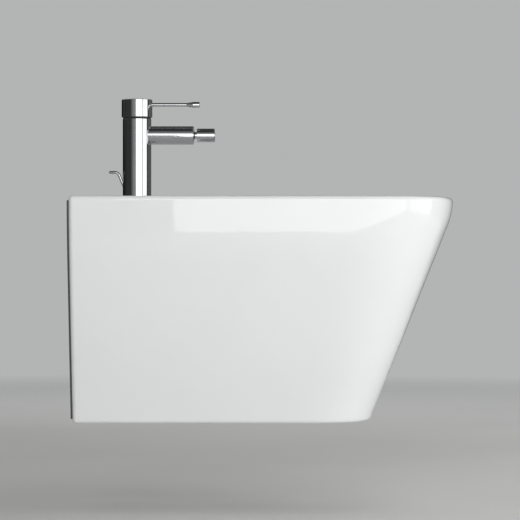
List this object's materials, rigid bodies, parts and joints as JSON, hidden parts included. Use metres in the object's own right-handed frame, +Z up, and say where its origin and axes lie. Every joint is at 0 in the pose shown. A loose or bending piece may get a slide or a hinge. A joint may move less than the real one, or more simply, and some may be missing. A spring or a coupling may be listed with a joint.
{
  "type": "wall-hung bidet",
  "caption": "Wall-hung bidet: glazed ceramic basin with wall fixings, a single-lever mixer with a swivel nozzle, a pop-up waste worked by a lift rod, and a bottle trap.",
  "frame": {"origin": "on the wall plane, midway between the two wall fixing holes", "axes": "+X straight out of the wall to the front, +Y to the right of a person facing the wall, +Z up"},
  "size_m": [0.5222, 0.36, 0.445],
  "materials": {
    "glaze": "gloss",
    "wall_foam": "matte",
    "chrome": "polished",
    "brass": "satin",
    "steel": "satin",
    "rubber": "matte",
    "guide_plastic": "satin",
    "trap_plastic": "satin",
    "disc_ceramic": "satin",
    "index_grey": "gloss"
  },
  "bodies": {
    "root": {"ceramic_body": "glaze", "ceramic_bowl": "glaze", "wall_pad": "wall_foam", "overflow_ring": "chrome", "tap_base": "chrome", "tap_body": "chrome", "spout_tube": "chrome", "swivel_collar": "chrome", "waste_flange": "chrome", "waste_nut": "chrome", "cartridge_nut": "brass", "waste_tee": "brass", "fixing_washers": "steel", "fixing_nuts": "steel", "tap_stud": "steel", "clamp_plate": "steel", "clamp_nut": "steel", "tap_gasket": "rubber", "clamp_gasket": "rubber", "swivel_seal": "rubber", "cartridge_seals": "rubber", "flange_seal": "rubber", "waste_seal": "rubber", "trap_slip_seal": "rubber", "cup_seal": "rubber", "outlet_seal": "rubber", "slide_ring": "rubber", "fixing_sleeves": "guide_plastic", "rod_bush": "guide_plastic", "swivel_washer": "guide_plastic", "cartridge_housing": "guide_plastic", "ball_seats": "guide_plastic", "ball_nut": "guide_plastic", "trap_tube": "trap_plastic", "trap_slip_nut": "trap_plastic", "trap_head": "trap_plastic", "trap_cup": "trap_plastic", "outlet_pipe": "trap_plastic", "outlet_nut": "trap_plastic", "fixed_disc": "disc_ceramic"},
    "rotor": {"cartridge_rotor": "guide_plastic", "stem_pin": "steel"},
    "handle": {"cartridge_stem": "brass", "handle_cap": "chrome", "lever_rod": "chrome", "grub_screw": "steel", "index_plug": "index_grey"},
    "disc": {"moving_disc": "disc_ceramic", "disc_carrier": "guide_plastic"},
    "swivel": {"swivel_ring": "guide_plastic"},
    "nozzle": {"nozzle_ball": "chrome", "nozzle_shell": "chrome", "aerator_seal": "rubber", "aerator_insert": "guide_plastic"},
    "lift": {"lift_rod": "chrome", "rod_clamp": "brass", "clamp_screw": "steel"},
    "pivot_rod": {"ball_rod": "brass"},
    "stopper": {"plug": "chrome", "plug_seal": "rubber"}
  },
  "joints": [
    {"name": "temperature", "type": "hinge", "parent": "root", "child": "rotor", "pos_m": [0.0825, 0, 0.2015], "axis": [0, 0, 1], "range_deg": [-45, 45]},
    {"name": "flow", "type": "hinge", "parent": "rotor", "child": "handle", "pos_m": [0.0825, 0, 0.2015], "axis": [0, -1, 0], "range_deg": [0, 20]},
    {"name": "disc_slide", "type": "slide", "parent": "rotor", "child": "disc", "axis": [1, 0, 0], "range_m": [0, 0.005]},
    {"name": "nozzle_yaw", "type": "hinge", "parent": "root", "child": "swivel", "pos_m": [0.157, 0, 0.18], "axis": [0, 0, 1], "range_deg": [-10, 10]},
    {"name": "nozzle_pitch", "type": "hinge", "parent": "swivel", "child": "nozzle", "pos_m": [0.157, 0, 0.18], "axis": [0, 1, 0], "range_deg": [-10, 10]},
    {"name": "lift", "type": "slide", "parent": "root", "child": "lift", "axis": [-0.3811, 0, 0.9245], "range_m": [0, 0.024]},
    {"name": "ball_rod_tilt", "type": "hinge", "parent": "root", "child": "pivot_rod", "pos_m": [0.21961, 0.0025, -0.095], "axis": [0.0894, 0.996, 0], "range_deg": [0, 17.75]},
    {"name": "plug_drop", "type": "slide", "parent": "root", "child": "stopper", "axis": [0, 0, -1], "range_m": [0, 0.00864]}
  ],
  "couplings": [
    {"joint": "disc_slide", "follows": "flow", "m_per_rad": 0.0143},
    {"joint": "ball_rod_tilt", "follows": "lift", "rad_per_m": 12.911},
    {"joint": "plug_drop", "follows": "lift", "ratio": 0.35997}
  ]
}
